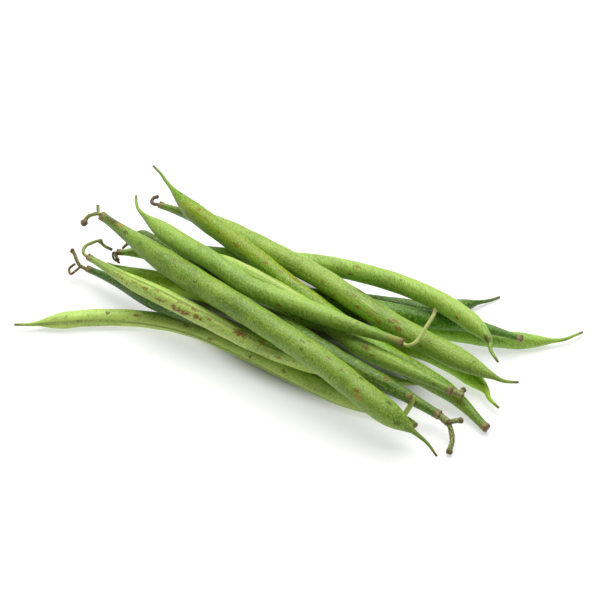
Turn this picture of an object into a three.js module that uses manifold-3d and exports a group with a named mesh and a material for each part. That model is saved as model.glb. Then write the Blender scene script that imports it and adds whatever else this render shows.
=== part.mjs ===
// A loose bundle of fresh green beans, heaped side by side on a table.
// Millimetres, +Z up, +X along the pods, origin on the table under the middle of the heap.
import * as THREE from 'three';
import { mergeVertices } from 'three/addons/utils/BufferGeometryUtils.js';
import Module from 'manifold-3d';

const wasm = await Module();
wasm.setup();

// Sizes that all the pods share
const STEM_CAP_RADIUS = 1.9;
const STEM_CAP_LENGTH = 1.6;
const STEM_CAP_RIM = 0.3;
const NECK_LENGTH = 32;
const TAIL_LENGTH = 10;
const TAIL_RADIUS = 0.7;
const TAIL_TIP_RADIUS = 0.45;
const TAIL_TAPER_LENGTH = 22;
const SEED_PITCH = 12;
const SEED_SWELL = 0.02;
const FLAT_HEIGHT = 0.25;

// How finely the surfaces are cut
const POD_SIDES = 12;
const POD_RING_STEP = 3.7;
const STALK_SIDES = 7;
const STALK_RING_STEP = 1.6;

const UP = new THREE.Vector3(0, 0, 1);
const SKIN_ROUGHNESS = 0.5;

// Each route runs from the stem end to the tip of the tail
const beans = [
  // A long pod on the table right under the heap
  {
    name: 'bean_floor_long',
    colour: 0x6f9a3e,
    radius: 3.4,
    neck: 26,
    taper: 12,
    tail: 8,
    route: [
      [-72, -20.5, 3], [-54, -14.5, 3.5], [-36, -9, 3.5], [-18, -3, 3.5], [0, 4, 3.5],
      [18, 10, 3.5], [36, 16, 3.5], [54.5, 19, 3.5], [73, 16.5, 3.5], [77, 14, 3],
      [82, 12.5, 3],
    ],
  },
  // The thin stray pod on the table in front, its tail to the far left
  {
    name: 'bean_stray_floor',
    colour: 0x8fb255,
    radius: 3.2,
    cap: 1.6,
    taper: 11,
    tail: 8.5,
    route: [
      [60, -12, 2.5], [43, -17.5, 3], [25.5, -19.5, 3], [8, -21, 3], [-9.5, -22.5, 3],
      [-27, -25.5, 3], [-43, -33, 3], [-57, -44, 3], [-69, -57, 2.5], [-72, -60.5, 2.5],
      [-76, -64, 2.5],
    ],
    stalks: [
      {
        radius: 1.1,
        knob: 0,
        route: [
          [60, -12, 2.5], [62, -11.5, 2], [65, -12, 2],
        ],
      },
      {
        radius: 0.9,
        knob: 1.3,
        route: [
          [60, -12, 2.5], [60, -12.5, 3.5], [61, -12, 6.5], [62, -11.5, 9.5],
          [62, -10.5, 11], [61, -11, 12.5],
        ],
      },
    ],
  },
  // A pod on the table at the right, mostly under the others
  {
    name: 'bean_floor_right',
    colour: 0x7fa64a,
    radius: 3.2,
    taper: 13,
    tail: 13,
    route: [
      [-21, 7.5, 2], [-3, 12.5, 3], [14, 19.5, 3.5], [31.5, 26.5, 3.5], [48.5, 33.5, 3],
      [64.5, 42.5, 3], [78, 55.5, 2], [80, 60, 2], [81, 64.5, 1.5],
    ],
  },
  // The dark pod under the speckled one, with a dry crooked stalk
  {
    name: 'bean_floor_dark',
    colour: 0x5f8a34,
    radius: 3.2,
    cap: 1.5,
    route: [
      [-74, -28, 6], [-57, -27.5, 8], [-39.5, -28, 9.5], [-22.5, -25, 10.5],
      [-5, -22, 10.5], [11.5, -17, 9], [26.5, -8.5, 5.5], [30.5, -6, 4.5], [35, -4, 3.5],
    ],
    stalks: [
      {
        radius: 0.7,
        knob: 1,
        route: [
          [-74, -28.5, 6], [-75.5, -28.5, 6], [-77.5, -28.5, 6], [-80, -27.5, 6.5],
          [-82.5, -26, 7], [-84, -25.5, 7.5],
        ],
      },
      {
        radius: 0.45,
        knob: 0,
        route: [
          [-77, -28.5, 6], [-77.5, -30.5, 5], [-78.5, -32.5, 4], [-80.5, -31, 4.5],
          [-79.5, -29, 6],
        ],
      },
    ],
  },
  // A pod at the back, its capped end lying on the right-hand floor pod
  {
    name: 'bean_back_floor',
    colour: 0x6c9a3c,
    radius: 3.2,
    cap: 1.4,
    route: [
      [71.5, 40, 9.5], [55, 35, 9.5], [40, 26.5, 10], [24.5, 20, 10], [8.5, 13.5, 9.5],
      [-6.5, 5.5, 10], [-21.5, -2.5, 10.5], [-37.5, -9, 9], [-42, -11, 8.5],
      [-47, -12, 8.5],
    ],
  },
  // A short pod at the back, seen in the gap under the arched one
  {
    name: 'bean_back_short',
    colour: 0x5d8c33,
    radius: 3.3,
    taper: 11,
    route: [
      [-3, 20, 2], [10.5, 26, 2.5], [24, 31, 3.5], [36.5, 39, 3.5], [43, 52, 2],
      [45, 56.5, 1], [46.5, 61, 0.5],
    ],
  },
  // The rust-speckled pod, its arched stalk reaching to the next stem
  {
    name: 'bean_speckled',
    colour: 0x9cb65c,
    radius: 3.3,
    cap: 1.5,
    route: [
      [-69.5, -31.5, 16.5], [-51, -31.5, 16.5], [-32.5, -30.5, 17], [-14, -28.5, 16],
      [4, -26, 14.5], [21, -19, 10.5], [35.5, -9, 6], [49.5, 3, 2], [53.5, 6, 1.5],
      [57, 9, 0.5],
    ],
    stalks: [
      {
        radius: 0.6,
        knob: 0,
        route: [
          [-69.5, -31.5, 16.5], [-71.5, -31.5, 16.5], [-73.5, -30, 16.5],
          [-74.5, -27.5, 16.5], [-74.5, -25, 16], [-74, -21.5, 15], [-72, -20.5, 13],
          [-70, -19, 11.5],
        ],
      },
      {
        radius: 0.9,
        knob: 0.9,
        route: [
          [-74, -21.5, 15], [-73.5, -21, 15],
        ],
      },
    ],
  },
  // The pale streaked pod between the two on top, ringed stub at the right
  {
    name: 'bean_streaked',
    colour: 0x8fb45c,
    radius: 3.3,
    cap: 1.7,
    taper: 18,
    tail: 7,
    route: [
      [68.5, 3.5, 9], [51, -0.5, 12], [33, -4, 14.5], [15, -3.5, 17.5], [-3, -4.5, 20],
      [-21, -7, 22], [-39, -9.5, 21.5], [-42.5, -9.5, 21.5], [-46, -9.5, 21.5],
    ],
    stalks: [
      {
        radius: 1.1,
        knob: 0,
        route: [
          [68.5, 3.5, 9], [70, 4, 9], [72.5, 4.5, 8.5],
        ],
      },
      {
        radius: 0.9,
        knob: 1.2,
        route: [
          [71, 4.5, 9], [71, 6.5, 9],
        ],
      },
    ],
  },
  // The arched pod that runs from the left right across the back
  {
    name: 'bean_arched',
    colour: 0x85ac4c,
    radius: 3.6,
    cap: 1.3,
    neck: 16,
    taper: 14,
    tail: 8.5,
    route: [
      [-70, -16.5, 8.5], [-57, -3, 7], [-41, 7, 7], [-25, 16.5, 8], [-7.5, 23.5, 11],
      [10.5, 27.5, 14], [29, 29.5, 16.5], [47.5, 30, 17], [65.5, 27.5, 15], [69.5, 24, 14],
      [74, 22, 13],
    ],
    stalks: [
      {
        radius: 0.6,
        knob: 0.9,
        route: [
          [-70, -16.5, 8.5], [-70, -17.5, 8.5], [-69, -18, 8], [-68, -18.5, 7.5],
        ],
      },
      {
        radius: 0.4,
        knob: 0,
        route: [
          [-70, -16.5, 8.5], [-71, -17.5, 8.5], [-70, -18.5, 7], [-67, -18.5, 6.5],
        ],
      },
    ],
  },
  // The pod behind the front one, with a forked stalk at the right
  {
    name: 'bean_second_row',
    colour: 0x729d40,
    radius: 3.4,
    taper: 4.5,
    tail: 7,
    route: [
      [71, -6.5, 6.5], [54, -10, 11], [37.5, -14, 15], [20, -15, 17], [2.5, -13.5, 16.5],
      [-15, -11, 15.5], [-33, -9.5, 15], [-50.5, -9.5, 14.5], [-66.5, -11, 14.5],
      [-66, -14.5, 14], [-65.5, -18, 14],
    ],
    stalks: [
      {
        radius: 1.3,
        knob: 1.4,
        route: [
          [71, -6.5, 6.5], [75, -7, 6],
        ],
      },
      {
        radius: 0.9,
        knob: 1.2,
        route: [
          [75, -7, 6], [76, -5, 6], [77.5, -3.5, 6],
        ],
      },
      {
        radius: 0.9,
        knob: 1.3,
        route: [
          [75, -7, 6], [77, -8, 4.5], [79.5, -10.5, 3], [81, -14, 1.5],
        ],
      },
    ],
  },
  // A large pod at the back with a small curled stalk
  {
    name: 'bean_upper_back',
    colour: 0x88b04e,
    radius: 4.1,
    cap: 1.5,
    neck: 34,
    taper: 17,
    tail: 8.5,
    route: [
      [-73.5, 10.5, 12], [-55, 13, 13.5], [-36.5, 13, 15.5], [-18, 12.5, 17],
      [0.5, 12.5, 17.5], [19.5, 12, 16.5], [38, 12.5, 14.5], [56, 15.5, 11.5],
      [74, 18.5, 9], [78.5, 20, 8], [82, 23.5, 7],
    ],
    stalks: [
      {
        radius: 0.65,
        knob: 0.8,
        route: [
          [-73.5, 10.5, 12], [-74.5, 10, 12], [-76, 9.5, 12], [-77, 10, 12],
          [-77.5, 11.5, 12.5], [-77, 13, 12.5],
        ],
      },
    ],
  },
  // The yellower pod, its tail high at the left, its capped end low at the right
  {
    name: 'bean_yellow',
    colour: 0x98b848,
    radius: 3.75,
    cap: 1.8,
    taper: 19,
    tail: 15.5,
    route: [
      [84.5, 2.5, 2], [67, 6, 4.5], [49.5, 4.5, 7.5], [32, 3, 10], [14.5, 3, 13],
      [-3, 3, 16.5], [-21, 4.5, 19], [-38.5, 6, 20.5], [-56.5, 8.5, 21], [-73, 14, 21.5],
      [-77.5, 16, 21.5], [-82.5, 17.5, 21.5],
    ],
  },
  // The pod on top in the middle, its tail hooked, its stalk curved and pale
  {
    name: 'bean_top_hook',
    colour: 0x8bb24f,
    radius: 3.5,
    neck: 36,
    taper: 16,
    tail: 13,
    route: [
      [46.5, 3.5, 18.5], [29.5, -4, 22], [11, -10, 24.5], [-8, -14, 25.5],
      [-27, -13, 26.5], [-46.5, -12, 26], [-65.5, -8, 25], [-69.5, -5.5, 24.5],
      [-73, -2, 24.5],
    ],
    stalks: [
      {
        radius: 0.7,
        knob: 0,
        route: [
          [46.5, 3.5, 18.5], [48.5, 3, 19], [50, 4, 19.5], [50.5, 6.5, 20], [50, 11, 21.5],
          [49.5, 14.5, 22.5], [49, 17.5, 23.5], [48, 19.5, 24],
        ],
      },
    ],
  },
  // The widest pod, on top in front, tail low at the right
  {
    name: 'bean_front_long',
    colour: 0x8ab04c,
    radius: 4.65,
    neck: 40,
    taper: 12.5,
    tail: 12,
    route: [
      [-78.5, -14.5, 20], [-59.5, -17.5, 21], [-41, -20.5, 22.5], [-21.5, -22, 23],
      [-2.5, -23, 23.5], [16.5, -23, 22], [35.5, -22.5, 19], [53.5, -22, 14],
      [71.5, -19.5, 7.5], [76, -19.5, 6], [80.5, -20.5, 4],
    ],
    stalks: [
      {
        radius: 0.7,
        knob: 1.5,
        route: [
          [-78.5, -14.5, 20], [-80.5, -14.5, 20], [-82, -15.5, 19.5], [-83.5, -17, 18.5],
          [-83.5, -19, 17],
        ],
      },
      {
        radius: 0.6,
        knob: 0,
        route: [
          [-80.5, -14.5, 20], [-82, -13, 20.5], [-83, -12, 21],
        ],
      },
    ],
  },
];

// Ring centres and directions along a route, turned as little as possible on the way
function ringsAlong(route, step) {
  const points = route.map((p) => new THREE.Vector3(...p));
  const curve = new THREE.CatmullRomCurve3(points, false, 'centripetal');
  const length = curve.getLength();
  const count = Math.max(2, Math.round(length / step));
  const rings = [];
  let side = new THREE.Vector3().crossVectors(curve.getTangentAt(0), UP).normalize();
  for (let i = 0; i <= count; i++) {
    const ahead = curve.getTangentAt(i / count);
    side = side.clone().addScaledVector(ahead, -side.dot(ahead)).normalize();
    rings.push({
      centre: curve.getPointAt(i / count),
      side,
      over: new THREE.Vector3().crossVectors(ahead, side),
      along: (length * i) / count,
    });
  }
  return { rings, length };
}

// A closed tube through the rings; what would sink into the table is pressed flat on it
function tube(rings, radiusAt, sides) {
  const positions = [];
  const triangles = [];
  const place = (p) => positions.push(p.x, p.y, p.z < FLAT_HEIGHT ? 0 : p.z);
  for (const ring of rings) {
    const radius = radiusAt(ring.along);
    for (let k = 0; k < sides; k++) {
      const angle = (2 * Math.PI * (k + 0.5)) / sides;
      const p = ring.centre.clone();
      p.addScaledVector(ring.side, radius * Math.cos(angle));
      p.addScaledVector(ring.over, radius * Math.sin(angle));
      place(p);
    }
  }
  place(rings[0].centre);
  place(rings[rings.length - 1].centre);
  const firstCentre = rings.length * sides;
  const lastRing = (rings.length - 1) * sides;
  for (let k = 0; k < sides; k++) {
    const next = (k + 1) % sides;
    for (let i = 0; i < lastRing; i += sides) {
      triangles.push(i + k, i + next, i + sides + k);
      triangles.push(i + sides + k, i + next, i + sides + next);
    }
    triangles.push(firstCentre, next, k);
    triangles.push(firstCentre + 1, lastRing + k, lastRing + next);
  }
  return solidFrom(new Float32Array(positions), new Uint32Array(triangles));
}

function solidFrom(positions, triangles) {
  return new wasm.Manifold(
    new wasm.Mesh({ numProp: 3, vertProperties: positions, triVerts: triangles }),
  );
}

// A small round swelling, for the knobs of the stalks
function knob(centre, radius) {
  const ball = new THREE.IcosahedronGeometry(radius, 1);
  ball.translate(...centre);
  ball.deleteAttribute('normal');
  ball.deleteAttribute('uv');
  const welded = mergeVertices(ball);
  return solidFrom(welded.attributes.position.array, new Uint32Array(welded.index.array));
}

function smoothStep(t) {
  const s = Math.min(Math.max(t, 0), 1);
  return s * s * (3 - 2 * s);
}

// Half the width of a pod at a distance from its stem end
function podRadius(bean, length, along) {
  const capRadius = bean.cap ?? STEM_CAP_RADIUS;
  const neckRadius = capRadius - STEM_CAP_RIM;
  const tailLength = bean.tail ?? TAIL_LENGTH;
  const tailRoot = length - tailLength;
  if (along < STEM_CAP_LENGTH) return capRadius;
  if (along > tailRoot) {
    const out = (along - tailRoot) / tailLength;
    return TAIL_RADIUS + (TAIL_TIP_RADIUS - TAIL_RADIUS) * out;
  }
  const widening = smoothStep(along / (bean.neck ?? NECK_LENGTH));
  const closing = Math.min((tailRoot - along) / (bean.taper ?? TAIL_TAPER_LENGTH), 1);
  const fromStem = neckRadius + (bean.radius - neckRadius) * widening;
  const fromTail = TAIL_RADIUS + (bean.radius - TAIL_RADIUS) * Math.sin((Math.PI / 2) * closing);
  const swell = 1 + SEED_SWELL * Math.sin((2 * Math.PI * along) / SEED_PITCH);
  return Math.min(fromStem, fromTail) * swell;
}

// One bean: pod, cap and tail in one sweep, with its bits of stalk grown on
function beanMesh(bean) {
  const pod = ringsAlong(bean.route, POD_RING_STEP);
  let body = tube(pod.rings, (along) => podRadius(bean, pod.length, along), POD_SIDES);
  for (const stalk of bean.stalks ?? []) {
    const twig = ringsAlong(stalk.route, STALK_RING_STEP);
    body = body.add(tube(twig.rings, () => stalk.radius, STALK_SIDES));
    if (stalk.knob > 0) body = body.add(knob(stalk.route[stalk.route.length - 1], stalk.knob));
  }
  const cut = body.getMesh();
  const geometry = new THREE.BufferGeometry();
  geometry.setAttribute('position', new THREE.BufferAttribute(cut.vertProperties, 3));
  geometry.setIndex(new THREE.BufferAttribute(cut.triVerts, 1));
  geometry.computeVertexNormals();
  const material = new THREE.MeshStandardMaterial({
    color: bean.colour,
    roughness: SKIN_ROUGHNESS,
    metalness: 0,
  });
  const mesh = new THREE.Mesh(geometry, material);
  mesh.name = bean.name;
  return mesh;
}

const bundle = new THREE.Group();
bundle.name = 'green_bean_bundle';
for (const bean of beans) bundle.add(beanMesh(bean));

export default bundle;
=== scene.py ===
import math
import random

import bpy
import numpy as np
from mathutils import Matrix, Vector


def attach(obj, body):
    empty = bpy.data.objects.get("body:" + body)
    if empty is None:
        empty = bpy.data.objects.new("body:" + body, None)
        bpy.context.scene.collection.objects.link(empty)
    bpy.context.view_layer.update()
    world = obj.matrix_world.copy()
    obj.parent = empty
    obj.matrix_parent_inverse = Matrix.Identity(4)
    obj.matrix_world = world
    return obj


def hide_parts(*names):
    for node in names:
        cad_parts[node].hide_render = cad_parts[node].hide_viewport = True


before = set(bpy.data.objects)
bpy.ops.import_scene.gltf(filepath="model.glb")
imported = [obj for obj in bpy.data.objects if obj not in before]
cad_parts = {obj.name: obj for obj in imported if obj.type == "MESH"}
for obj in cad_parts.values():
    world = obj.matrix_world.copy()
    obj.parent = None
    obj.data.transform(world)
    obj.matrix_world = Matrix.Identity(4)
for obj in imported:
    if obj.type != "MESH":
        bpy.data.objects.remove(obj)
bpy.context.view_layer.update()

# One millimetre, in metres.
MM = 0.001

# The camera looks down on the heap from the front, turned so that the pods run from the
# upper left of the picture to the lower right, as they do in the photograph.
CAMERA_AZIMUTH = math.radians(40)
CAMERA_ELEVATION = math.radians(42)
CAMERA_DISTANCE = 0.9
CAMERA_TARGET = Vector((-0.5, 4.5, 6.0)) * MM
CAMERA_LENS = 151.2
PICTURE_SIDE = 600
TARGET_BELOW_MIDDLE = 10


def direction(azimuth, elevation):
    """The way out from the heap, turned round from the front and raised over the table."""
    return Vector((
        math.sin(azimuth) * math.cos(elevation),
        -math.cos(azimuth) * math.cos(elevation),
        math.sin(elevation),
    ))


towards_camera = direction(CAMERA_AZIMUTH, CAMERA_ELEVATION)
camera = bpy.data.objects.new("camera", bpy.data.cameras.new("camera"))
camera.location = CAMERA_TARGET + towards_camera * CAMERA_DISTANCE
camera.rotation_euler = towards_camera.to_track_quat("Z", "Y").to_euler()
camera.data.lens = CAMERA_LENS
camera.data.shift_y = TARGET_BELOW_MIDDLE / PICTURE_SIDE
bpy.context.scene.collection.objects.link(camera)
bpy.context.scene.camera = camera

# A plain white table top under the heap, wide enough to fill every view. It glows a little
# though it is no lamp: painted light, so that only faint shadows fall on it. The glow fades
# out where the heap's middle covers it, so the gaps there stay dark: painted shade.
TABLE_HALF = 3.0
TABLE_DROP = 0.00002
TABLE_WHITE = 0.5
TABLE_ROUGHNESS = 0.9
TABLE_SPECULAR = 0.1
TABLE_GLOW = 0.56
HEAP_HALF_LENGTH = 0.06
HEAP_HALF_WIDTH = 0.03
GLOW_STARTS, GLOW_FULL = 0.7, 1.05


class Tone:
    """A node socket on which sums are written as Python; any other node comes from node()."""

    def __init__(self, tree, socket=None):
        self.tree, self.socket = tree, socket

    def node(self, kind, settings=None, inputs=None, out=0):
        """A new node: its settings are set first, then its inputs; one output is kept."""
        made = self.tree.nodes.new(kind)
        for name, value in (settings or {}).items():
            setattr(made, name, value)
        for name, value in (inputs or {}).items():
            if isinstance(value, Tone):
                self.tree.links.new(value.socket, made.inputs[name])
            else:
                made.inputs[name].default_value = value
        return Tone(self.tree, made.outputs[out])

    def sum_node(self, operation, first, second=0.0):
        return self.node("ShaderNodeMath", {"operation": operation}, {0: first, 1: second})

    def __add__(self, other):
        return self.sum_node("ADD", self, other)

    __radd__ = __add__

    def __sub__(self, other):
        return self.sum_node("SUBTRACT", self, other)

    def __rsub__(self, other):
        return self.sum_node("SUBTRACT", other, self)

    def __mul__(self, other):
        return self.sum_node("MULTIPLY", self, other)

    __rmul__ = __mul__

    def __abs__(self):
        return self.sum_node("ABSOLUTE", self)

    def step(self, low, high):
        """0 below low and 1 above high, smooth between; low may be the larger."""
        return self.node(
            "ShaderNodeMapRange",
            {"interpolation_type": "SMOOTHSTEP"},
            {"Value": self, "From Min": low, "From Max": high},
        )

    def other(self, out):
        """Another output of the node that this socket belongs to."""
        return Tone(self.tree, self.socket.node.outputs[out])

    def stretched(self, across, along):
        """A place on the skin, scaled across and along the pod."""
        return self.node(
            "ShaderNodeVectorMath", {"operation": "MULTIPLY"}, {0: self, 1: (across, across, along)}
        )

    def turned(self, rotation, scale):
        """A place on the skin, turned and scaled for a slanting pattern."""
        return self.node(
            "ShaderNodeMapping",
            {"vector_type": "TEXTURE"},
            {"Vector": self, "Rotation": rotation, "Scale": scale},
        )

    def noise(self, detail=3.0, roughness=0.55):
        """Soft noise that changes over about one unit of the place."""
        return self.node(
            "ShaderNodeTexNoise",
            None,
            {"Vector": self, "Scale": 1.0, "Detail": detail, "Roughness": roughness},
        )

    def blend(self, other, share):
        """This colour turned into the other one by a share from 0 to 1."""
        inputs = {0: share, 6: self, 7: other}
        return self.node("ShaderNodeMix", {"data_type": "RGBA"}, inputs, out=2)


table_mesh = bpy.data.meshes.new("table")
table_mesh.from_pydata(
    [
        (-TABLE_HALF, -TABLE_HALF, -TABLE_DROP),
        (TABLE_HALF, -TABLE_HALF, -TABLE_DROP),
        (TABLE_HALF, TABLE_HALF, -TABLE_DROP),
        (-TABLE_HALF, TABLE_HALF, -TABLE_DROP),
    ],
    [],
    [(0, 1, 2, 3)],
)
table = bpy.data.objects.new("table", table_mesh)
bpy.context.scene.collection.objects.link(table)
table_paint = bpy.data.materials.new("table_white")
table_paint.use_nodes = True
table_shader = table_paint.node_tree.nodes["Principled BSDF"]
table_shader.inputs["Base Color"].default_value = (TABLE_WHITE, TABLE_WHITE, TABLE_WHITE, 1)
table_tone = Tone(table_paint.node_tree)
table_place = table_tone.node("ShaderNodeTexCoord", out="Object")
in_heap_sizes = table_tone.node(
    "ShaderNodeVectorMath",
    {"operation": "DIVIDE"},
    {0: table_place, 1: (HEAP_HALF_LENGTH, HEAP_HALF_WIDTH, TABLE_HALF)},
)
from_heap = table_tone.node(
    "ShaderNodeVectorMath", {"operation": "LENGTH"}, {0: in_heap_sizes}, out="Value"
)
# Painted light and shade: the table glows outside the heap, and the glow fades to nothing under its
# middle.
glow = from_heap.step(GLOW_STARTS, GLOW_FULL)
table_paint.node_tree.links.new(glow.socket, table_shader.inputs["Emission Color"])
table_shader.inputs["Emission Strength"].default_value = TABLE_GLOW
table_shader.inputs["Roughness"].default_value = TABLE_ROUGHNESS
table_shader.inputs["Specular IOR Level"].default_value = TABLE_SPECULAR
table_mesh.materials.append(table_paint)

# Soft studio light: one broad lamp hangs above the heap and a little behind it, in a dim
# white room.
ROOM_STRENGTH = 0.15
LAMP_AZIMUTH = math.radians(215)
LAMP_ELEVATION = math.radians(66)
LAMP_DISTANCE = 1.1
LAMP_SIDE = 1.2
LAMP_POWER = 20.0

scene = bpy.context.scene
scene.view_settings.view_transform = "Standard"
room = bpy.data.worlds.new("white_room")
room.use_nodes = True
room.node_tree.nodes["Background"].inputs["Color"].default_value = (1, 1, 1, 1)
room.node_tree.nodes["Background"].inputs["Strength"].default_value = ROOM_STRENGTH
scene.world = room

towards_lamp = direction(LAMP_AZIMUTH, LAMP_ELEVATION)
soft_box = bpy.data.lights.new("top_soft_box", "AREA")
soft_box.shape = "SQUARE"
soft_box.size = LAMP_SIDE
soft_box.energy = LAMP_POWER
lamp = bpy.data.objects.new("top_soft_box", soft_box)
lamp.location = towards_lamp * LAMP_DISTANCE
lamp.rotation_euler = towards_lamp.to_track_quat("Z", "Y").to_euler()
scene.collection.objects.link(lamp)

# The longer of the two pods that lie on the table under the heap and carry it. It is a
# fresh bean, grown in one piece: two ridges run along it at the left, between the pods
# above, and its pointed end comes out at the lower right.
CURVE_STEPS = 60


def smooth_route(points, step):
    """Even places along a smooth curve through the points, and how far along each one is."""
    ends = np.array(points, float)
    ends = np.vstack([2 * ends[0] - ends[1], ends, 2 * ends[-1] - ends[-2]])
    places = []
    for before, start, stop, after in zip(ends, ends[1:], ends[2:], ends[3:]):
        gap_in = math.sqrt(np.linalg.norm(start - before))
        gap = math.sqrt(np.linalg.norm(stop - start))
        gap_out = math.sqrt(np.linalg.norm(after - stop))
        across = (stop - start) / gap
        leave = (start - before) / gap_in - (stop - before) / (gap_in + gap) + across
        arrive = across - (after - start) / (gap + gap_out) + (after - stop) / gap_out
        leave, arrive = leave * gap, arrive * gap
        for t in np.linspace(0, 1, CURVE_STEPS, endpoint=False):
            places.append(
                start + leave * t
                + (3 * (stop - start) - 2 * leave - arrive) * t ** 2
                + (2 * (start - stop) + leave + arrive) * t ** 3
            )
    places = np.array(places + [ends[-2]])
    lengths = np.concatenate([[0], np.cumsum(np.linalg.norm(np.diff(places, axis=0), axis=1))])
    along = np.linspace(0, lengths[-1], max(4, round(lengths[-1] / step)))
    return np.stack([np.interp(along, lengths, places[:, k]) for k in range(3)], axis=1), along


def side_directions(places):
    """Two directions square to the route at each place, carried along with little turning."""
    ahead = np.gradient(places, axis=0)
    ahead /= np.linalg.norm(ahead, axis=1)[:, None]
    side = np.cross(ahead[0], (0, 0, 1))
    sides = []
    for forward in ahead:
        side = side - forward * np.dot(side, forward)
        side = side / np.linalg.norm(side)
        sides.append(side)
    sides = np.array(sides)
    return sides, np.cross(ahead, sides)


# Stalks and knobs have a skin place of their own, far beyond any pod's length.
STALK_PLACE = 500
STALK_SPAN = 20
KNOB_PLACE = 1000
KNOB_ROWS = 14
KNOB_COLUMNS = 18
ANY_PHASE = 6.28


class Grown:
    """The vertices, faces and skin places of one bean while its pieces are added."""

    def __init__(self):
        self.vertices, self.skin_places, self.faces, self.finishes = [], [], [], []

    def tube(self, places, along, radii, angles, finish, dome):
        """Rings of the given radii (one row a ring), closed by a low dome at both ends."""
        sides, overs = side_directions(places)
        first, count = len(self.vertices), len(angles)
        for place, side, over, reach, row in zip(places, sides, overs, along, radii):
            for angle, radius in zip(angles, row):
                out = side * math.cos(angle) + over * math.sin(angle)
                point = place + out * radius
                self.vertices.append((point[0], point[1], max(point[2], 0.0)))
                self.skin_places.append((radius * math.cos(angle), radius * math.sin(angle), reach))
        for ring in range(len(places) - 1):
            low = first + ring * count
            for k in range(count):
                after = (k + 1) % count
                self.faces.append((low + k, low + after, low + count + after, low + count + k))
                self.finishes.append(finish)
        last = len(places) - 1
        for ring, inner, order in ((0, 1, -1), (last, last - 1, 1)):
            outward = places[ring] - places[inner]
            outward = outward / np.linalg.norm(outward)
            tip = places[ring] + outward * dome
            self.vertices.append((tip[0], tip[1], max(tip[2], 0.0)))
            self.skin_places.append((0.0, 0.0, along[ring]))
            low = first + ring * count
            for k in range(count):
                pair = (low + k, low + (k + 1) % count)[::order]
                self.faces.append((len(self.vertices) - 1, *pair))
                self.finishes.append(finish)

    def knob(self, centre, radius, seed, finish):
        """A small lumpy swelling: rows of vertices between a top one and a bottom one."""
        draw = random.Random(seed)
        shifts = [draw.uniform(0, ANY_PHASE) for _ in range(3)]
        ways_out = [(0.0, 0.0)]
        for row in range(1, KNOB_ROWS):
            for column in range(KNOB_COLUMNS):
                ways_out.append((math.pi * row / KNOB_ROWS, 2 * math.pi * column / KNOB_COLUMNS))
        ways_out.append((math.pi, 0.0))
        top = len(self.vertices)
        bottom = top + len(ways_out) - 1
        for tilt, turn in ways_out:
            flat = math.sin(tilt)
            out = np.array((flat * math.cos(turn), flat * math.sin(turn), math.cos(tilt)))
            lump = 0.9 + 0.06 * math.sin(5 * out[0] + shifts[0])
            lump += 0.05 * math.sin(6 * out[1] + shifts[1])
            lump += 0.05 * math.sin(7 * out[2] + shifts[2])
            point = np.array(centre) + out * radius * min(lump, 1.0)
            self.vertices.append((point[0], point[1], max(point[2], 0.0)))
            self.skin_places.append((out[0] * radius, out[1] * radius, KNOB_PLACE + out[2]))
        for k in range(KNOB_COLUMNS):
            after = (k + 1) % KNOB_COLUMNS
            self.faces.append((top, top + 1 + k, top + 1 + after))
            self.faces.append((bottom, bottom - KNOB_COLUMNS + after, bottom - KNOB_COLUMNS + k))
            self.finishes += [finish, finish]
            for row in range(KNOB_ROWS - 2):
                high = top + 1 + row * KNOB_COLUMNS
                low = high + KNOB_COLUMNS
                self.faces.append((high + k, low + k, low + after, high + after))
                self.finishes.append(finish)


# A pod's rings: a tan cap, a narrow neck, the long body with its seeds just showing,
# a taper and a thread-like tail.
STEM_CAP_LENGTH = 1.6
STEM_CAP_RIM = 0.3
TAIL_RADIUS = 0.7
TAIL_TIP_RADIUS = 0.42
SEED_PITCH = 12
SEED_SWELL = 0.022
SEED_DRIFT = 17
WAVER = 0.008
OVALNESS = 0.05
TAIL_COLLAR = 0.3
TAIL_COLLAR_LENGTH = 2.5
SEAM_DEPTH = 0.16
SEAM_SPREAD = 0.008
RING_STEP = 0.7
POD_SIDES = 48
POD_DOME = 0.35
STALK_STEP = 0.35
STALK_SIDES = 14
STALK_DOME = 0.2
SKIN, STALK = 0, 1


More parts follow.
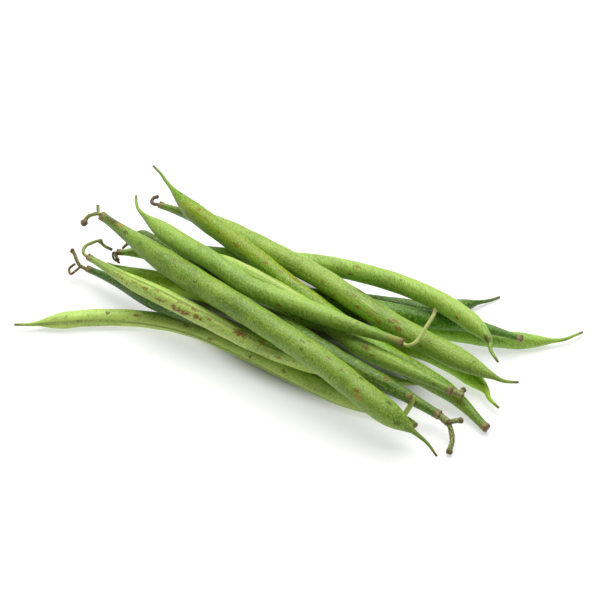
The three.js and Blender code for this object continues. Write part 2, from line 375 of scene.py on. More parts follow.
def pod_radii(along, radius, cap, neck, taper, tail, groove, seam_turn, draw):
    """The distance of the skin from the route, for each ring and each angle round it."""
    tail_root = along[-1] - tail
    neck_radius = cap - STEM_CAP_RIM
    widening = np.clip(along / neck, 0, 1)
    widening = widening ** 2 * (3 - 2 * widening)
    closing = np.clip((tail_root - along) / taper, 0, 1)
    from_stem = neck_radius + (radius - neck_radius) * widening
    from_tail = TAIL_RADIUS + (radius - TAIL_RADIUS) * np.sin(math.pi / 2 * closing)
    body = np.minimum(from_stem, from_tail)
    body_share = np.clip((body - neck_radius) / (radius - neck_radius), 0, 1)
    out = np.clip((along - tail_root) / tail, 0, 1)
    body = body + (TAIL_TIP_RADIUS - TAIL_RADIUS) * out
    body = body + TAIL_COLLAR * np.exp(-np.abs(along - tail_root) / TAIL_COLLAR_LENGTH)
    phase = draw.uniform(0, ANY_PHASE)
    drift = 0.8 * np.sin(along / SEED_DRIFT + phase)
    seeds = np.sin(2 * math.pi * along / SEED_PITCH + phase + drift)
    slow = np.sin(along / 9.0 + phase * 2) * 0.6 + np.sin(along / 4.3 + phase * 3) * 0.4
    angles = np.arange(POD_SIDES) * 2 * math.pi / POD_SIDES
    from_seam = angles[None, :] - seam_turn[:, None]
    flank = np.sin(from_seam) ** 2
    swell = SEED_SWELL * seeds[:, None] * flank - OVALNESS * flank + WAVER * slow[:, None]
    rows = body[:, None] * (1 + body_share[:, None] * swell)
    seam = np.exp(-((1 - np.abs(np.cos(from_seam))) / SEAM_SPREAD))
    rows -= SEAM_DEPTH * groove * seam * body_share[:, None]
    cap_share = 1 - np.clip((along - STEM_CAP_LENGTH * 0.6) / 1.0, 0, 1)
    cap_share = (cap_share ** 2 * (3 - 2 * cap_share))[:, None]
    lumps = 0.5 * np.sin(3 * angles + phase) + 0.4 * np.sin(5 * angles + 2 * phase)
    rim = np.exp(-((along - STEM_CAP_LENGTH) / 0.6) ** 2)[:, None]
    rows += STEM_CAP_RIM * (cap_share * (0.3 + lumps[None, :]) + rim * (0.2 - 0.3 * lumps[None, :]))
    return rows, angles


def grow_bean(
    name, route, radius, seam, twist, seed,
    cap=1.9, neck=32, taper=22, tail=10, groove=0.4, stalks=(),
):
    """The whole bean as one mesh object: pod, cap and tail, then its bits of stalk.

    Radii, routes and the lengths of neck, taper and tail are in millimetres. The seam lies
    at an angle round the pod, in degrees, and twists by some more along it.
    """
    draw = random.Random(seed)
    grown = Grown()
    places, along = smooth_route(route, RING_STEP)
    seam_turn = math.radians(seam) + math.radians(twist) * along / along[-1]
    rows, angles = pod_radii(along, radius, cap, neck, taper, tail, groove, seam_turn, draw)
    grown.tube(places, along, rows, angles, SKIN, POD_DOME)
    for ring in range(len(places)):
        for k in range(len(angles)):
            index = ring * len(angles) + k
            turn = angles[k] - seam_turn[ring]
            reach = rows[ring][k]
            grown.skin_places[index] = (reach * math.cos(turn), reach * math.sin(turn), along[ring])
    for stalk in stalks:
        line, reach = smooth_route(stalk["route"], STALK_STEP)
        sides = np.arange(STALK_SIDES) * 2 * math.pi / STALK_SIDES
        ripple = 1 + 0.1 * np.sin(reach * 2.1 + draw.uniform(0, 6)) * np.sin(reach * 0.9)
        thick = stalk["radius"] * np.minimum(ripple, 1.0)
        stalk_rows = thick[:, None] * (1 + 0.05 * np.sin(sides * 4))[None, :]
        skin_reach = STALK_PLACE + STALK_SPAN * reach / reach[-1]
        grown.tube(line, skin_reach, stalk_rows, sides, STALK, STALK_DOME)
        if stalk["knob"]:
            grown.knob(stalk["route"][-1], stalk["knob"], seed, STALK)
    mesh = bpy.data.meshes.new(name)
    mesh.from_pydata([tuple(c * MM for c in v) for v in grown.vertices], [], grown.faces)
    places_on_skin = mesh.attributes.new("skin_place", "FLOAT_VECTOR", "POINT")
    places_on_skin.data.foreach_set("vector", np.array(grown.skin_places, float).ravel())
    mesh.polygons.foreach_set("material_index", grown.finishes)
    mesh.polygons.foreach_set("use_smooth", [True] * len(grown.faces))
    mesh.update()
    bean = bpy.data.objects.new(name, mesh)
    scene.collection.objects.link(bean)
    return bean, float(along[-1])


def paint(red, green, blue):
    """A colour as the eye reads it, from 0 to 255, in the renderer's own scale."""
    return tuple(((c / 255 + 0.055) / 1.055) ** 2.4 for c in (red, green, blue)) + (1.0,)


DEEP_GREEN = paint(20, 64, 0)
PALE_GREEN = paint(204, 226, 112)
GOLDEN = paint(160, 160, 10)
RUST = paint(134, 86, 0)
RUST_EDGE = paint(142, 122, 10)
SCAR = paint(70, 42, 12)
TAN = paint(164, 134, 60)
CREAM = paint(216, 216, 140)
NECK_GREEN = paint(72, 112, 36)
TIP_BROWN = paint(116, 92, 40)
CAP_TAN = paint(158, 138, 92)
CAP_BROWN = paint(102, 74, 36)
NECK_ENDS = 24.0
CAP_ENDS = 3.3
RELIEF_HEIGHT = 0.0003


def skin_finish(
    name, length, green, seed,
    rust=0.1, strings=0.3, groove=0.4, yellow=0.0, dull_neck=0.4, marks=(),
):
    """Waxy bean skin: green with paler strings along it, a fine seam with painted shade in its
    groove, pale hatching that is partly painted glints, rust flecks and scars.

    Each mark has its place on the skin (across, over and along the pod), half its length,
    half its width, its colour and how strong it is.
    """
    finish = bpy.data.materials.new(name)
    finish.use_nodes = True
    tree = finish.node_tree
    shader = tree.nodes["Principled BSDF"]
    skin = Tone(tree)
    place = skin.node("ShaderNodeAttribute", {"attribute_name": "skin_place"}, out="Vector")
    parts = skin.node("ShaderNodeSeparateXYZ", None, {0: place})
    across, over, along = parts, parts.other(1), parts.other(2)
    shift = (seed * 7.3, seed * 3.1, 0.0)
    own = skin.node("ShaderNodeVectorMath", {"operation": "ADD"}, {0: place, 1: shift})
    cloud = own.stretched(0.12, 0.05).noise(3.0)
    string = own.stretched(1.5, 0.05).noise(3.0, 0.6)
    wrinkle = own.stretched(0.9, 2.6).noise(3.0, 0.65)
    fine = own.stretched(3.0, 1.6).noise(4.0, 0.7)
    hatch = own.turned((0.8, 0.8, 0.0), (0.5, 0.5, 1.7)).noise(2.0, 0.5)
    zone = own.stretched(0.15, 0.04).noise(2.0)
    dash = own.turned((0.5, 0.9, 0.0), (1.1, 1.5, 2.4))
    cells = skin.node("ShaderNodeTexVoronoi", None, {"Vector": dash, "Scale": 1.0})
    chance = skin.node("ShaderNodeSeparateColor", None, {0: cells.other("Color")})

    # The green itself: slow clouds, strings along the pod, a fine pale cross-hatching, whose
    # pale strokes are partly grain and partly painted glints on the skin's fine hairs
    plain = skin.node("ShaderNodeRGB")
    plain.socket.default_value = green
    deep = plain.blend(DEEP_GREEN, 0.6)
    pale = plain.blend(PALE_GREEN, 0.42)
    golden = plain.blend(GOLDEN, 0.5)
    colour = plain.blend(deep, cloud.step(0.54, 0.34) * 0.6)
    colour = colour.blend(pale, cloud.step(0.5, 0.7) * 0.4)
    colour = colour.blend(golden, zone.step(0.42, 0.62) * yellow)
    colour = colour.blend(pale, string.step(0.53, 0.68) * strings)
    colour = colour.blend(deep, string.step(0.47, 0.33) * strings)
    # Painted highlight: the pale hatch strokes stand in part for glints on the fine hairs.
    colour = colour.blend(pale, hatch.step(0.5, 0.66) * 0.7)
    colour = colour.blend(deep, hatch.step(0.48, 0.34) * 0.5)
    colour = colour.blend(pale, fine.step(0.54, 0.72) * 0.14)
    seam = abs(over + wrinkle * 0.3).step(0.6, 0.1) * across.step(0.6, 1.4)
    beside_seam = abs(abs(over) - 0.9).step(0.45, 0.1) * across.step(0.6, 1.4)
    # Along the seam: a paler strip beside it, and a darker line down its groove, which is painted
    # shade in the groove.
    colour = colour.blend(pale, beside_seam * 0.6 * groove)
    colour = colour.blend(deep, seam * cloud.step(0.3, 0.6) * groove * 0.7)

    # Both ends: a duller neck under the dry cap, an olive tail with a withered tip
    colour = colour.blend(NECK_GREEN, along.step(NECK_ENDS, 4.0) * dull_neck)
    colour = colour.blend(deep, along.step(length - 16.0, length - 5.0) * 0.35)
    colour = colour.blend(TIP_BROWN, (along + fine).step(length - 2.6, length - 0.4) * 0.8)
    cap = (along + fine * 2.4).step(CAP_ENDS, CAP_ENDS - 0.8)
    colour = colour.blend(CAP_TAN, cap * 0.9)
    colour = colour.blend(CAP_BROWN, cap * fine.step(0.46, 0.6) * 0.7)
    colour = colour.blend(CAP_BROWN, (along + fine * 0.8).step(1.0, 0.5) * 0.6)
    ring = abs(along + wrinkle * 0.8 - 2.4).step(0.4, 0.05)
    colour = colour.blend(CAP_BROWN, ring * fine.step(0.4, 0.55) * 0.5)

    # Rust flecks in some zones, and the scars that are placed one by one
    ragged = cells + fine * 0.7
    spread = zone.step(0.5 - 0.08 * rust, 0.58 - 0.08 * rust)
    chosen = chance.step(0.94 - 0.3 * rust, 0.98 - 0.3 * rust) * spread
    fleck = ragged.step(0.62, 0.42) * chosen
    colour = colour.blend(RUST_EDGE, ragged.step(0.76, 0.5) * chosen * 0.45)
    colour = colour.blend(RUST, fleck * 0.75)
    rough_spots = cap * 0.5 + fleck * 0.5
    for x, y, reach, long, wide, tint, strength in marks:
        sideways = (across - x) * (across - x) + (over - y) * (over - y)
        lengthways = (along - reach) * (along - reach)
        offset = sideways * (0.6 / wide ** 2) + lengthways * (0.6 / long ** 2)
        mark = (offset + fine * 3.0 + hatch * 2.0).step(3.5, 2.6)
        colour = colour.blend(tint, mark * strength)
        rough_spots = rough_spots + mark * 0.4
    tree.links.new(colour.socket, shader.inputs["Base Color"])
    gloss = 0.3 + hatch * 0.24 - fine.step(0.55, 0.7) * 0.1 + rough_spots * 0.3
    tree.links.new(gloss.socket, shader.inputs["Roughness"])
    relief = string * 0.3 + hatch * 0.7 + wrinkle * 0.4 + fine * 0.35 - seam * groove
    relief = relief + rough_spots * 0.3
    bump = skin.node("ShaderNodeBump", None, {"Distance": RELIEF_HEIGHT, "Height": relief})
    tree.links.new(bump.socket, shader.inputs["Normal"])
    shader.inputs["Specular IOR Level"].default_value = 0.42
    shader.inputs["Coat Weight"].default_value = 0.05
    shader.inputs["Coat Roughness"].default_value = 0.3
    return finish


def stalk_finish(name, green, brown, dryness):
    """Dry stalk: yellow-green where it is fresh, brown and rough where it has withered."""
    finish = bpy.data.materials.new(name)
    finish.use_nodes = True
    tree = finish.node_tree
    shader = tree.nodes["Principled BSDF"]
    stalk = Tone(tree)
    place = stalk.node("ShaderNodeAttribute", {"attribute_name": "skin_place"}, out="Vector")
    along = stalk.node("ShaderNodeSeparateXYZ", None, {0: place}, 2)
    blotch = place.stretched(2.0, 0.6).noise(3.0)
    grain = place.stretched(3.0, 0.8).noise(4.0)
    dry = blotch.step(0.7 - dryness * 0.4, 0.84 - dryness * 0.4)
    colour = stalk.node("ShaderNodeRGB")
    colour.socket.default_value = green
    colour = colour.blend(brown, dry)
    stalk_end = STALK_PLACE + STALK_SPAN
    withered = (along + grain * 3.0).step(stalk_end - 1.5, stalk_end + 1.5)
    colour = colour.blend(brown, withered * 0.8)
    colour = colour.blend(CAP_BROWN, grain.step(0.52, 0.72) * 0.45)
    tree.links.new(colour.socket, shader.inputs["Base Color"])
    shader.inputs["Roughness"].default_value = 0.6
    bump = stalk.node(
        "ShaderNodeBump", None, {"Strength": 0.6, "Distance": RELIEF_HEIGHT, "Height": grain}
    )
    tree.links.new(bump.socket, shader.inputs["Normal"])
    return finish


floor_long, floor_long_length = grow_bean(
    "floor_long_pod",
    route=[
        (-72, -20.5, 3), (-54, -14.5, 3.5), (-36, -9, 3.5), (-18, -3, 3.5), (0, 4, 3.5),
        (18, 10, 3.5), (36, 16, 3.5), (54.5, 19, 3.5), (73, 16.5, 3.5), (77, 14, 3),
        (82, 12.5, 3),
    ],
    radius=3.4,
    neck=26,
    taper=12,
    tail=8,
    groove=0.7,
    seam=265,
    twist=30,
    seed=1,
)
floor_long.data.materials.append(skin_finish(
    "floor_long_skin",
    length=floor_long_length,
    # Painted light: this green is brighter than the pod's own, to stand in for light that the pods
    # above keep off it.
    green=paint(182, 233, 38),
    seed=1,
    rust=0.15,
    strings=0.35,
    groove=0.7,
))
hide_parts("bean_floor_long")
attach(floor_long, "root")

# The stray pod in front, thin and a little pressed, with a groove along its side. It
# was picked with its ringed bit of stalk, which stands up beyond the widest pod.
stray_floor, stray_floor_length = grow_bean(
    "stray_floor_pod",
    route=[
        (60, -12, 2.5), (43, -17.5, 3), (25.5, -19.5, 3), (8, -21, 3), (-9.5, -22.5, 3),
        (-27, -25.5, 3), (-43, -33, 3), (-57, -44, 3), (-69, -57, 2.5), (-72, -60.5, 2.5),
        (-76, -64, 2.5),
    ],
    radius=3.2,
    cap=1.6,
    taper=11,
    tail=8.5,
    groove=0.9,
    seam=154,
    twist=60,
    stalks=[
        {
            "radius": 1.1,
            "knob": 0,
            "route": [
                (60, -12, 2.5), (62, -11.5, 2), (65, -12, 2),
            ],
        },
        {
            "radius": 0.9,
            "knob": 1.3,
            "route": [
                (60, -12, 2.5), (60, -12.5, 3.5), (61, -12, 6.5), (62, -11.5, 9.5),
                (62, -10.5, 11), (61, -11, 12.5),
            ],
        },
    ],
    seed=2,
)
stray_floor.data.materials.append(skin_finish(
    "stray_floor_skin",
    length=stray_floor_length,
    green=paint(196, 228, 108),
    seed=2,
    rust=0.3,
    strings=0.2,
    groove=0.9,
    marks=[
        (1.8, 2.5, 118, 0.8, 0.6, SCAR, 0.85),
        (2.1, 2.2, 107.5, 1.4, 0.6, RUST, 0.85),
        (3.1, 0.1, 128.5, 0.7, 0.45, RUST, 0.5),
        (1.9, 2.4, 101, 0.7, 0.45, RUST, 0.5),
        (2.3, 2.1, 88.5, 1.2, 0.6, RUST, 0.77),
        (3.0, 0.9, 78, 1.1, 0.6, RUST, 0.68),
        (2.5, 1.6, 60.5, 0.7, 0.6, SCAR, 0.8),
        (2.0, 2.2, 46.5, 0.9, 0.6, RUST, 0.68),
    ],
))
# Painted light: the stalk's green is brighter than its own, to stand in for light that the front
# pod keeps off it.
stray_floor.data.materials.append(stalk_finish(
    "stray_floor_stalk", green=paint(172, 186, 86), brown=paint(118, 92, 52), dryness=0.15
))
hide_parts("bean_stray_floor")
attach(stray_floor, "root")

# The second pod on the table, at the right: smooth, pale below, its tail turned up.
# Most of it is hidden under the heap.
floor_right, floor_right_length = grow_bean(
    "floor_right_pod",
    route=[
        (-21, 7.5, 2), (-3, 12.5, 3), (14, 19.5, 3.5), (31.5, 26.5, 3.5), (48.5, 33.5, 3),
        (64.5, 42.5, 3), (78, 55.5, 2), (80, 60, 2), (81, 64, 1.5),
    ],
    radius=3.2,
    taper=13,
    tail=13,
    groove=0.3,
    seam=120,
    twist=30,
    seed=3,
)
floor_right.data.materials.append(skin_finish(
    "floor_right_skin",
    length=floor_right_length,
    green=paint(164, 207, 76),
    seed=3,
    rust=0.05,
    strings=0.15,
    groove=0.3,
    marks=[
        (-3.1, -0.2, 72.5, 1, 0.45, RUST, 0.41),
    ],
))
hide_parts("bean_floor_right")
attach(floor_right, "root")

# The dark pod in the shade of the speckled one. Its dry crooked stalk, broken off
# when it was picked, stays on at the left; a loose thread of it hangs down.
floor_dark, floor_dark_length = grow_bean(
    "floor_dark_pod",
    route=[
        (-74, -28, 6), (-57, -27.5, 8), (-39.5, -28, 9.5), (-22.5, -25, 10.5), (-5, -22, 10.5),
        (11.5, -17, 9), (26.5, -8.5, 5.5), (30.5, -6, 4.5), (35, -4, 3.5),
    ],
    radius=3.2,
    cap=1.5,
    groove=0.2,
    seam=60,
    twist=30,
    stalks=[
        {
            "radius": 0.7,
            "knob": 1,
            "route": [
                (-74, -28.5, 6), (-75.5, -28.5, 6), (-77.5, -28.5, 6), (-80, -27.5, 6.5),
                (-82.5, -26, 7), (-84, -25.5, 7.5),
            ],
        },
        {
            "radius": 0.45,
            "knob": 0,
            "route": [
                (-77, -28.5, 6), (-77.5, -30.5, 5), (-78.5, -32.5, 4), (-80.5, -31, 4.5),
                (-79.5, -29, 6),
            ],
        },
    ],
    seed=4,
)
floor_dark.data.materials.append(skin_finish(
    "floor_dark_skin",
    length=floor_dark_length,
    green=paint(54, 96, 2),
    seed=4,
    rust=0.2,
    strings=0.2,
    groove=0.2,
))
floor_dark.data.materials.append(stalk_finish(
    "floor_dark_stalk", green=paint(126, 142, 62), brown=paint(110, 84, 44), dryness=0.75
))
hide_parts("bean_floor_dark")
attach(floor_dark, "root")

# A pod at the back, its greyish capped end lying on top of the pod on the table at
# the right.
back_floor, back_floor_length = grow_bean(
    "back_floor_pod",
    route=[
        (71.5, 40, 9.5), (55, 35, 9.5), (40, 26.5, 10), (24.5, 20, 10), (8.5, 13.5, 9.5),
        (-6.5, 5.5, 10), (-21.5, -2.5, 10.5), (-37.5, -9, 9), (-42, -11, 8.5), (-47, -12, 8.5),
    ],
    radius=3.2,
    cap=1.4,
    groove=0.2,
    seam=160,
    twist=30,
    seed=5,
)
back_floor.data.materials.append(skin_finish(
    "back_floor_skin",
    length=back_floor_length,
    green=paint(84, 140, 6),
    seed=5,
    rust=0.1,
    strings=0.2,
    groove=0.2,
    marks=[
        (-1.7, 2.7, 41, 1.8, 0.8, TAN, 0.3),
    ],
))
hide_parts("bean_back_floor")
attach(back_floor, "root")

# A short pod at the back, seen only in the gap under the arched one, with a thin
# withered tail.
back_short, back_short_length = grow_bean(
    "back_short_pod",
    route=[
        (-3, 20, 2), (10.5, 26, 2.5), (24, 31, 3.5), (36.5, 39, 3.5), (43, 52, 2), (45, 56.5, 1),
        (46.5, 61, 0.5),
    ],
    radius=3.3,
    taper=11,
    groove=0.2,
    seam=90,
    twist=30,
    seed=6,
)
back_short.data.materials.append(skin_finish(
    "back_short_skin",
    length=back_short_length,
    green=paint(65, 109, 2),
    seed=6,
    rust=0.05,
    strings=0.2,
    groove=0.2,
))
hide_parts("bean_back_short")
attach(back_short, "root")

# The speckled pod, paler and duller than the others, with strings showing along it
# and a band of rust where it was bruised. Its green stalk arches over to the next one.
speckled, speckled_length = grow_bean(
    "speckled_pod",
    route=[
        (-69.5, -31.5, 16.5), (-51, -31.5, 16.5), (-32.5, -30.5, 17), (-14, -28.5, 16),
        (4, -26, 14.5), (21, -19, 10.5), (35.5, -9, 6), (49.5, 3, 2), (53.5, 6, 1.5),
        (57, 9, 0.5),
    ],
    radius=3.3,
    cap=1.5,
    groove=0.7,
    seam=285,
    twist=15,
    stalks=[
        {
            "radius": 0.6,
            "knob": 0,
            "route": [
                (-69.5, -31.5, 16.5), (-71.5, -31.5, 16.5), (-73.5, -30, 16.5),
                (-74.5, -27.5, 16.5), (-74.5, -25, 16), (-74, -21.5, 15), (-72, -20.5, 13),
                (-70, -19, 11.5),
            ],
        },
        {
            "radius": 0.9,
            "knob": 0.9,
            "route": [
                (-74, -21.5, 15), (-73.5, -21, 15),
            ],
        },
    ],
    seed=7,
)
speckled.data.materials.append(skin_finish(
    "speckled_skin",
    length=speckled_length,
    green=paint(186, 216, 100),
    seed=7,
    rust=0.9,
    strings=0.5,
    groove=0.7,
    marks=[
        (2.6, 0.8, 24, 1.6, 0.51, RUST, 0.75),
        (2.8, 1.1, 29.5, 1.2, 0.51, RUST, 0.85),
        (3.1, 0.2, 34, 1.5, 0.42, RUST, 0.75),
        (1.9, 2.4, 36, 2, 0.68, RUST, 0.75),
        (1.9, 2.7, 42.5, 1, 1.27, RUST, 0.95),
        (1.9, 2.6, 44.5, 0.9, 1.19, RUST, 0.95),
        (1.9, 2.7, 46.5, 1.5, 1.19, RUST, 0.95),
        (2.2, 2.4, 48, 1.1, 0.77, RUST, 0.85),
        (2.5, 2.0, 51.5, 1.1, 0.94, RUST, 0.95),
        (2.4, 2.1, 53.5, 1, 0.51, RUST, 0.95),
        (2.9, 0.8, 56.5, 1.2, 0.51, RUST, 0.85),
        (3.2, 0.1, 50, 1.4, 0.51, RUST, 0.75),
        (3.0, 0.1, 45, 3.2, 0.34, RUST, 0.75),
        (3.1, 0.0, 69, 2.4, 1.27, RUST, 0.95),
        (3.2, -0.3, 77, 1.5, 0.51, RUST, 0.65),
        (2.2, 2.5, 84.5, 1.2, 0.51, RUST, 0.65),
    ],
))
speckled.data.materials.append(stalk_finish(
    "speckled_stalk", green=paint(140, 160, 80), brown=paint(104, 82, 52), dryness=0.45
))
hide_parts("bean_speckled")
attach(speckled, "root")

# A pod inside the heap whose pale strings show between two upper ones. It comes out
# again at the lower right, with a ringed stub and a knob.
streaked, streaked_length = grow_bean(
    "streaked_pod",
    route=[
        (68.5, 3.5, 9), (51, -0.5, 12), (33, -4, 14.5), (15, -3.5, 17.5), (-3, -4.5, 20),
        (-21, -7, 22), (-39, -9.5, 21.5), (-42.5, -9.5, 21.5), (-46, -9.5, 21.5),
    ],
    radius=3.3,
    cap=1.7,
    taper=18,
    tail=7,
    groove=0.1,
    seam=235,
    twist=20,
    stalks=[
        {
            "radius": 1.1,
            "knob": 0,
            "route": [
                (68.5, 3.5, 9), (70, 4, 9), (72.5, 4.5, 8.5),
            ],
        },
        {
            "radius": 0.9,
            "knob": 1.2,
            "route": [
                (71, 4.5, 9), (71, 6.5, 9),
            ],
        },
    ],
    seed=8,
)
streaked.data.materials.append(skin_finish(
    "streaked_skin",
    length=streaked_length,
    green=paint(155, 193, 71),
    seed=8,
    rust=0.15,
    strings=0.4,
    groove=0.1,
    marks=[
        (3.1, 0.1, 33, 1.6, 0.83, RUST, 0.68),
        (3.0, -1.2, 30, 1, 0.6, RUST, 0.59),
        (1.4, -0.8, 6.5, 1, 0.5, SCAR, 0.5),
        (2.7, 1.7, 87, 8, 0.4, CREAM, 0.64),
        (2.7, 1.7, 81, 8, 0.28, CREAM, 0.56),
        (2.9, 1.3, 72.5, 7, 0.36, CREAM, 0.64),
        (3.0, 1.1, 83.5, 6, 0.24, CREAM, 0.48),
        (2.7, 1.3, 93, 5, 0.28, CREAM, 0.48),
        (2.7, 1.7, 67.5, 5, 0.32, CREAM, 0.56),
    ],
))
streaked.data.materials.append(stalk_finish(
    "streaked_stalk", green=paint(150, 160, 88), brown=paint(104, 80, 52), dryness=0.5
))
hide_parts("bean_streaked")
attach(streaked, "root")

# The arched pod starts at the left among the stems with a twig and a thread, runs
# through the heap and bows out smooth and even at the back right.
arched, arched_length = grow_bean(
    "arched_pod",
    route=[
        (-70, -16.5, 8.5), (-57, -3, 7), (-41, 7, 7), (-25, 16.5, 8), (-7.5, 23.5, 11),
        (10.5, 27.5, 14), (29, 29.5, 16.5), (47.5, 30, 17), (65.5, 27.5, 15), (69.5, 24, 14),
        (74, 22, 13),
    ],
    radius=3.6,
    cap=1.3,
    neck=16,
    taper=14,
    tail=8.5,
    groove=0.15,
    seam=60,
    twist=30,
    stalks=[
        {
            "radius": 0.6,
            "knob": 0.9,
            "route": [
                (-70, -16.5, 8.5), (-70, -17.5, 8.5), (-69, -18, 8), (-68, -18.5, 7.5),
            ],
        },
        {
            "radius": 0.4,
            "knob": 0,
            "route": [
                (-70, -16.5, 8.5), (-71, -17.5, 8.5), (-70, -18.5, 7), (-67, -18.5, 6.5),
            ],
        },
    ],
    seed=9,
)
arched.data.materials.append(skin_finish(
    "arched_skin",
    length=arched_length,
    green=paint(162, 200, 79),
    seed=9,
    dull_neck=0,
    rust=0.15,
    strings=0.12,
    groove=0.15,
    marks=[
        (-3.0, -1.6, 92, 1.3, 0.68, RUST, 0.59),
        (-0.6, -3.4, 90.5, 1.1, 0.45, RUST, 0.5),
        (-3.2, -1.4, 110.5, 0.7, 0.45, RUST, 0.77),
        (-1.2, -3.2, 136.5, 0.9, 0.6, RUST, 0.77),
        (-0.9, -0.8, 151, 2.2, 1.2, SCAR, 0.8),
    ],
))
arched.data.materials.append(stalk_finish(
    "arched_stalk", green=paint(110, 136, 50), brown=paint(112, 74, 46), dryness=0.7
))
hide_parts("bean_arched")
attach(arched, "root")

# The pod behind the front one, mostly in its shade. At the lower right it ends in a
# ringed cap with a forked stalk that has dried at its ends.
second_row, second_row_length = grow_bean(
    "second_row_pod",
    route=[
        (71, -6.5, 6.5), (54, -10, 11), (37.5, -14, 15), (20, -15, 17), (2.5, -13.5, 16.5),
        (-15, -11, 15.5), (-33, -9.5, 15), (-50.5, -9.5, 14.5), (-66.5, -11, 14.5),
        (-66, -14.5, 14), (-65.5, -18, 14),
    ],
    radius=3.4,
    taper=4.5,
    tail=7,
    groove=0.2,
    seam=220,
    twist=30,
    stalks=[
        {
            "radius": 1.3,
            "knob": 1.4,
            "route": [
                (71, -6.5, 6.5), (75, -7, 6),
            ],
        },
        {
            "radius": 0.9,
            "knob": 1.2,
            "route": [
                (75, -7, 6), (76, -5, 6), (77.5, -3.5, 6),
            ],
        },
        {
            "radius": 0.9,
            "knob": 1.3,
            "route": [
                (75, -7, 6), (77, -8, 4.5), (79.5, -10.5, 3), (81, -14, 1.5),
            ],
        },
    ],
    seed=10,
)
second_row.data.materials.append(skin_finish(
    "second_row_skin",
    length=second_row_length,
    green=paint(80, 118, 3),
    seed=10,
    dull_neck=0.15,
    rust=0.25,
    strings=0.2,
    groove=0.2,
    marks=[
        (1.3, 3.2, 49, 0.7, 0.5, SCAR, 0.8),
        (2.0, 2.5, 42, 1, 0.45, RUST, 0.5),
        (1.9, 1.9, 22, 1.6, 0.68, RUST, 0.77),
    ],
))
second_row.data.materials.append(stalk_finish(
    "second_row_stalk", green=paint(138, 156, 80), brown=paint(104, 80, 52), dryness=0.55
))
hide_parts("bean_second_row")
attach(second_row, "root")

# A large pod at the back, rusty where it bends. A small curled dry stalk shows at the
# upper left, and its tail is held out straight at the right.
upper_back, upper_back_length = grow_bean(
    "upper_back_pod",
    route=[
        (-73.5, 10.5, 12), (-55, 13, 13.5), (-36.5, 13, 15.5), (-18, 12.5, 17),
        (0.5, 12.5, 17.5), (19.5, 12, 16.5), (38, 12.5, 14.5), (56, 15.5, 11.5), (74, 18.5, 9),
        (78.5, 20, 8), (82, 23.5, 7),
    ],
    radius=4.1,
    cap=1.5,
    neck=34,
    taper=17,
    tail=8.5,
    groove=0.15,
    seam=320,
    twist=30,
    stalks=[
        {
            "radius": 0.65,
            "knob": 0.8,
            "route": [
                (-73.5, 10.5, 12), (-74.5, 10, 12), (-76, 9.5, 12), (-77, 10, 12),
                (-77.5, 11.5, 12.5), (-77, 13, 12.5),
            ],
        },
    ],
    seed=11,
)
upper_back.data.materials.append(skin_finish(
    "upper_back_skin",
    length=upper_back_length,
    green=paint(147, 181, 65),
    seed=11,
    rust=0.55,
    strings=0.15,
    groove=0.15,
    marks=[
        (3.7, -1.2, 80, 1, 0.75, RUST, 0.5),
        (4.1, 0.5, 86.5, 0.8, 0.6, RUST, 0.59),
        (2.7, -2.8, 93, 0.8, 0.6, RUST, 0.5),
        (3.9, -0.3, 96.5, 1.2, 0.6, RUST, 0.77),
        (-0.9, -3.9, 93.5, 2.6, 0.8, SCAR, 0.85),
        (3.8, -1.2, 102, 2.4, 0.5, TAN, 0.7),
        (3.9, -0.3, 105, 1.8, 0.6, TAN, 0.6),
        (3.9, 0.1, 106, 1.4, 0.6, RUST, 0.77),
        (3.6, -1.5, 113, 1.3, 0.9, RUST, 0.85),
        (2.5, -3.2, 111, 1.3, 0.6, RUST, 0.68),
        (3.1, -2.4, 109.5, 1, 0.6, RUST, 0.59),
        (4.1, 0.0, 122.5, 0.8, 0.6, RUST, 0.59),
        (2.8, -2.9, 124.5, 0.7, 0.45, RUST, 0.5),
        (1.1, -2.7, 142, 0.8, 0.5, SCAR, 0.6),
        (2.8, -2.9, 98.5, 2.5, 0.28, CREAM, 0.48),
        (3.0, -2.7, 101.5, 2, 0.24, CREAM, 0.48),
    ],
))
upper_back.data.materials.append(stalk_finish(
    "upper_back_stalk", green=paint(138, 118, 84), brown=paint(104, 76, 52), dryness=0.8
))
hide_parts("bean_upper_back")
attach(upper_back, "root")

# The yellower pod, riper than the rest, its tail high at the upper left. It dives under
# the next pod and ends low at the right in a plain tan cap.
yellow, yellow_length = grow_bean(
    "yellow_pod",
    route=[
        (84.5, 2.5, 2), (67, 6, 4.5), (49.5, 4.5, 7.5), (32, 3, 10), (14.5, 3, 13),
        (-3, 3, 16.5), (-21, 4.5, 19), (-38.5, 6, 20.5), (-56.5, 8.5, 21), (-73, 14, 21.5),
        (-77.5, 16, 21.5), (-82.5, 17.5, 21.5),
    ],
    radius=3.75,
    cap=1.8,
    taper=19,
    tail=15.5,
    groove=0.1,
    seam=70,
    twist=30,
    seed=12,
)
yellow.data.materials.append(skin_finish(
    "yellow_skin",
    length=yellow_length,
    green=paint(120, 166, 19),
    seed=12,
    rust=0.6,
    strings=0.12,
    groove=0.1,
    yellow=0.95,
    marks=[
        (-3.7, 0.6, 137, 0.9, 0.6, RUST, 0.85),
        (-3.1, 1.5, 132, 1.4, 0.68, RUST, 0.5),
        (-2.6, 2.5, 115.5, 1.4, 0.68, RUST, 0.77),
        (-2.5, 2.7, 124, 0.8, 0.6, RUST, 0.5),
        (-1.3, 3.6, 112, 1, 0.68, RUST, 0.5),
        (-3.5, 1.1, 101.5, 1.1, 0.68, RUST, 0.77),
        (-3.4, 1.1, 106, 1.5, 0.45, RUST, 0.5),
        (-3.5, 0.1, 95.5, 2.2, 0.75, RUST, 0.63),
        (-3.5, -1.2, 89.5, 2.4, 0.75, RUST, 0.68),
    ],
))
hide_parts("bean_yellow")
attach(yellow, "root")

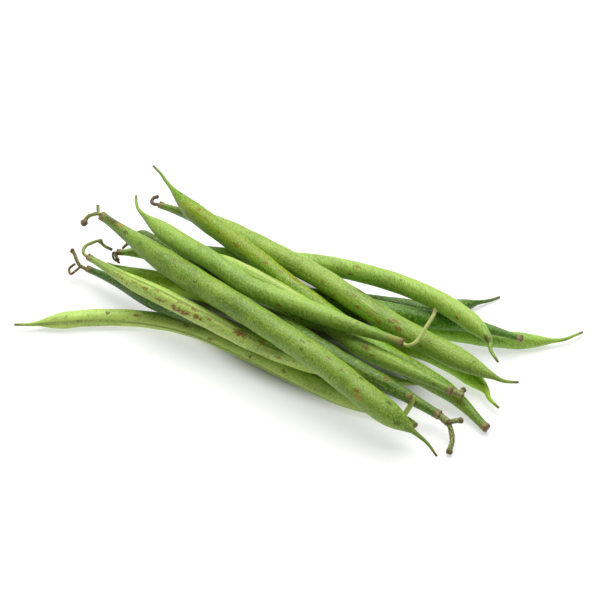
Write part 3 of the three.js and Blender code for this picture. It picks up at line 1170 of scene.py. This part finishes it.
# The pod on top in the middle, smooth and evenly green. Its tail is hooked up, and its
# pale curved stalk stands up in front of the pod behind.
top_hook, top_hook_length = grow_bean(
    "top_hook_pod",
    route=[
        (46.5, 3.5, 18.5), (29.5, -4, 22), (11, -10, 24.5), (-8, -14, 25.5), (-27, -13, 26.5),
        (-46.5, -12, 26), (-65.5, -8, 25), (-69.5, -5.5, 24.5), (-73, -2, 24.5),
    ],
    radius=3.5,
    neck=36,
    taper=16,
    tail=13,
    groove=0.15,
    seam=330,
    twist=10,
    stalks=[
        {
            "radius": 0.7,
            "knob": 0,
            "route": [
                (46.5, 3.5, 18.5), (48.5, 3, 19), (50, 4, 19.5), (50.5, 6.5, 20), (50, 11, 21.5),
                (49.5, 14.5, 22.5), (49, 17.5, 23.5), (48, 19.5, 24),
            ],
        },
    ],
    seed=13,
)
top_hook.data.materials.append(skin_finish(
    "top_hook_skin",
    length=top_hook_length,
    green=paint(152, 191, 72),
    seed=13,
    rust=0.15,
    strings=0.12,
    groove=0.15,
    marks=[
        (-2.7, -1.9, 44.5, 1.2, 0.6, RUST, 0.68),
        (1.2, -2.0, 17, 0.9, 0.45, RUST, 0.59),
        (0.2, -1.7, 4, 2.2, 0.8, TAN, 0.7),
    ],
))
top_hook.data.materials.append(stalk_finish(
    "top_hook_stalk", green=paint(182, 194, 108), brown=paint(120, 84, 66), dryness=0.15
))
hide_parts("bean_top_hook")
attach(top_hook, "root")

# The widest pod lies on top in front, from a brown crooked stalk at the upper left,
# where its neck is bruised, to a tail at the lower right.
front_long, front_long_length = grow_bean(
    "front_long_pod",
    route=[
        (-78.5, -14.5, 20), (-59.5, -17.5, 21), (-41, -20.5, 22.5), (-21.5, -22, 23),
        (-2.5, -23, 23.5), (16.5, -23, 22), (35.5, -22.5, 19), (53.5, -22, 14),
        (71.5, -19.5, 7.5), (76, -19.5, 6), (80.5, -20.5, 4),
    ],
    radius=4.65,
    neck=40,
    taper=12.5,
    tail=12,
    groove=0.1,
    seam=150,
    twist=20,
    stalks=[
        {
            "radius": 0.7,
            "knob": 1.5,
            "route": [
                (-78.5, -14.5, 20), (-80.5, -14.5, 20), (-82, -15.5, 19.5), (-83.5, -17, 18.5),
                (-83.5, -19, 17),
            ],
        },
        {
            "radius": 0.6,
            "knob": 0,
            "route": [
                (-80.5, -14.5, 20), (-82, -13, 20.5), (-83, -12, 21),
            ],
        },
    ],
    seed=14,
)
front_long.data.materials.append(skin_finish(
    "front_long_skin",
    length=front_long_length,
    green=paint(129, 165, 49),
    seed=14,
    rust=0.3,
    strings=0.15,
    groove=0.1,
    marks=[
        (-1.1, 1.4, 7, 4, 1.1, SCAR, 0.8),
        (-1.0, 1.7, 11, 2, 0.9, TAN, 0.9),
        (-2.3, 1.3, 16, 1.2, 0.7, SCAR, 0.7),
        (-3.1, 1.8, 25.5, 1.2, 0.8, NECK_GREEN, 0.7),
        (-2.4, 3.6, 43, 0.9, 0.6, RUST, 0.59),
        (-1.6, 3.9, 45.5, 0.9, 0.6, RUST, 0.59),
        (-4.0, 1.9, 56, 0.6, 0.5, SCAR, 0.7),
        (-3.4, 2.7, 61.5, 0.8, 0.45, RUST, 0.59),
        (-2.1, 4.0, 103, 1.3, 0.5, SCAR, 0.6),
        (-3.9, 2.2, 104.5, 1, 0.7, SCAR, 0.5),
        (-0.5, 4.4, 104.5, 0.9, 0.45, RUST, 0.68),
        (-1.4, 4.3, 113.5, 1.3, 0.6, RUST, 0.77),
        (-2.2, 4.1, 120, 0.8, 0.45, RUST, 0.59),
        (-3.6, 2.6, 128.5, 1.1, 0.83, RUST, 0.85),
        (-4.1, 1.3, 130, 1.8, 1, TAN, 0.85),
        (0.6, 4.4, 126.5, 1, 0.5, SCAR, 0.7),
        (-0.4, 4.5, 139, 1.5, 0.7, SCAR, 0.6),
        (-2.8, 1.1, 145, 1.2, 0.8, SCAR, 0.6),
    ],
))
front_long.data.materials.append(stalk_finish(
    "front_long_stalk", green=paint(146, 158, 78), brown=paint(112, 82, 54), dryness=0.5
))
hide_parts("bean_front_long")
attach(front_long, "root")
